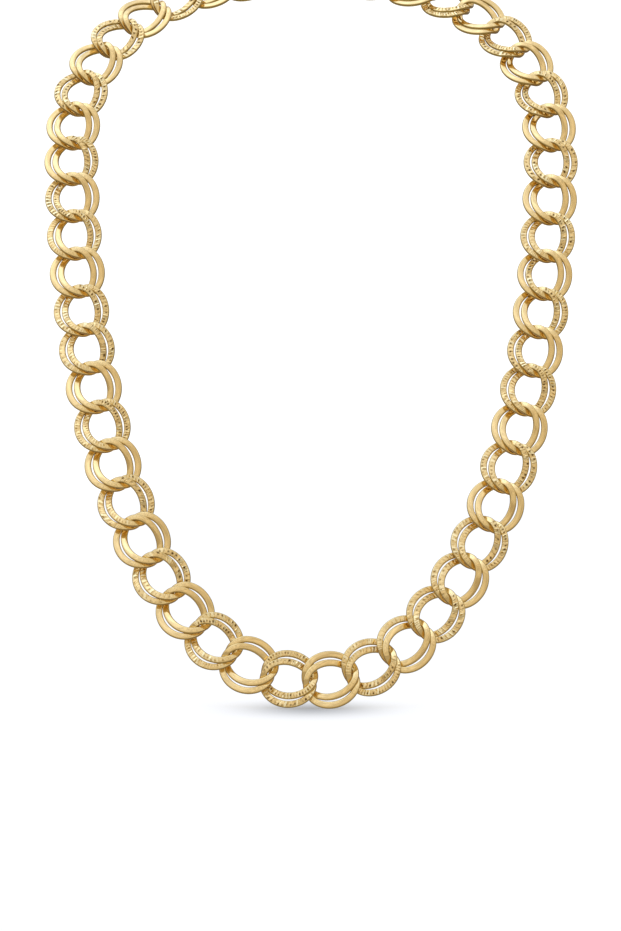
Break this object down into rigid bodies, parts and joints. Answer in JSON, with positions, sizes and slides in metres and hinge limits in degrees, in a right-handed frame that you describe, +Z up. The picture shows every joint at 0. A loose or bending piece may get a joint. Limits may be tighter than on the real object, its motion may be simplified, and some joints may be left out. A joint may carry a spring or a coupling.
{
  "type": "circle link chain",
  "caption": "Necklace of double circle links, each a pair of overlapping round rings curbed to lie flat, hanging in a wide bow and closed at the nape by a plain barrel clasp.",
  "frame": {"origin": "Middle of the clasp's flat underside, where the necklace rests at the nape", "axes": "+Z up, the front of the bow towards -Y, +X to the right as the chain is seen from the front"},
  "size_m": [0.1193, 0.0685, 0.1684],
  "materials": {
    "gold": "polished, with diamond-cut notches on part of the rings"
  },
  "bodies": {
    "root": {"link_left_1": "gold", "link_left_2": "gold", "link_left_3": "gold", "link_left_4": "gold", "link_left_5": "gold", "link_left_6": "gold", "link_left_7": "gold", "link_left_8": "gold", "link_left_9": "gold", "link_left_10": "gold", "link_left_11": "gold", "link_left_12": "gold", "link_left_13": "gold", "link_left_14": "gold", "link_left_15": "gold", "link_left_16": "gold", "link_right_1": "gold", "link_right_2": "gold", "link_right_3": "gold", "link_right_4": "gold", "link_right_5": "gold", "link_right_6": "gold", "link_right_7": "gold", "link_right_8": "gold", "link_right_9": "gold", "link_right_10": "gold", "link_right_11": "gold", "link_right_12": "gold", "link_right_13": "gold", "link_right_14": "gold", "link_right_15": "gold", "link_right_16": "gold", "back_left": "gold", "back_right": "gold", "clasp": "gold"}
  },
  "joints": []
}
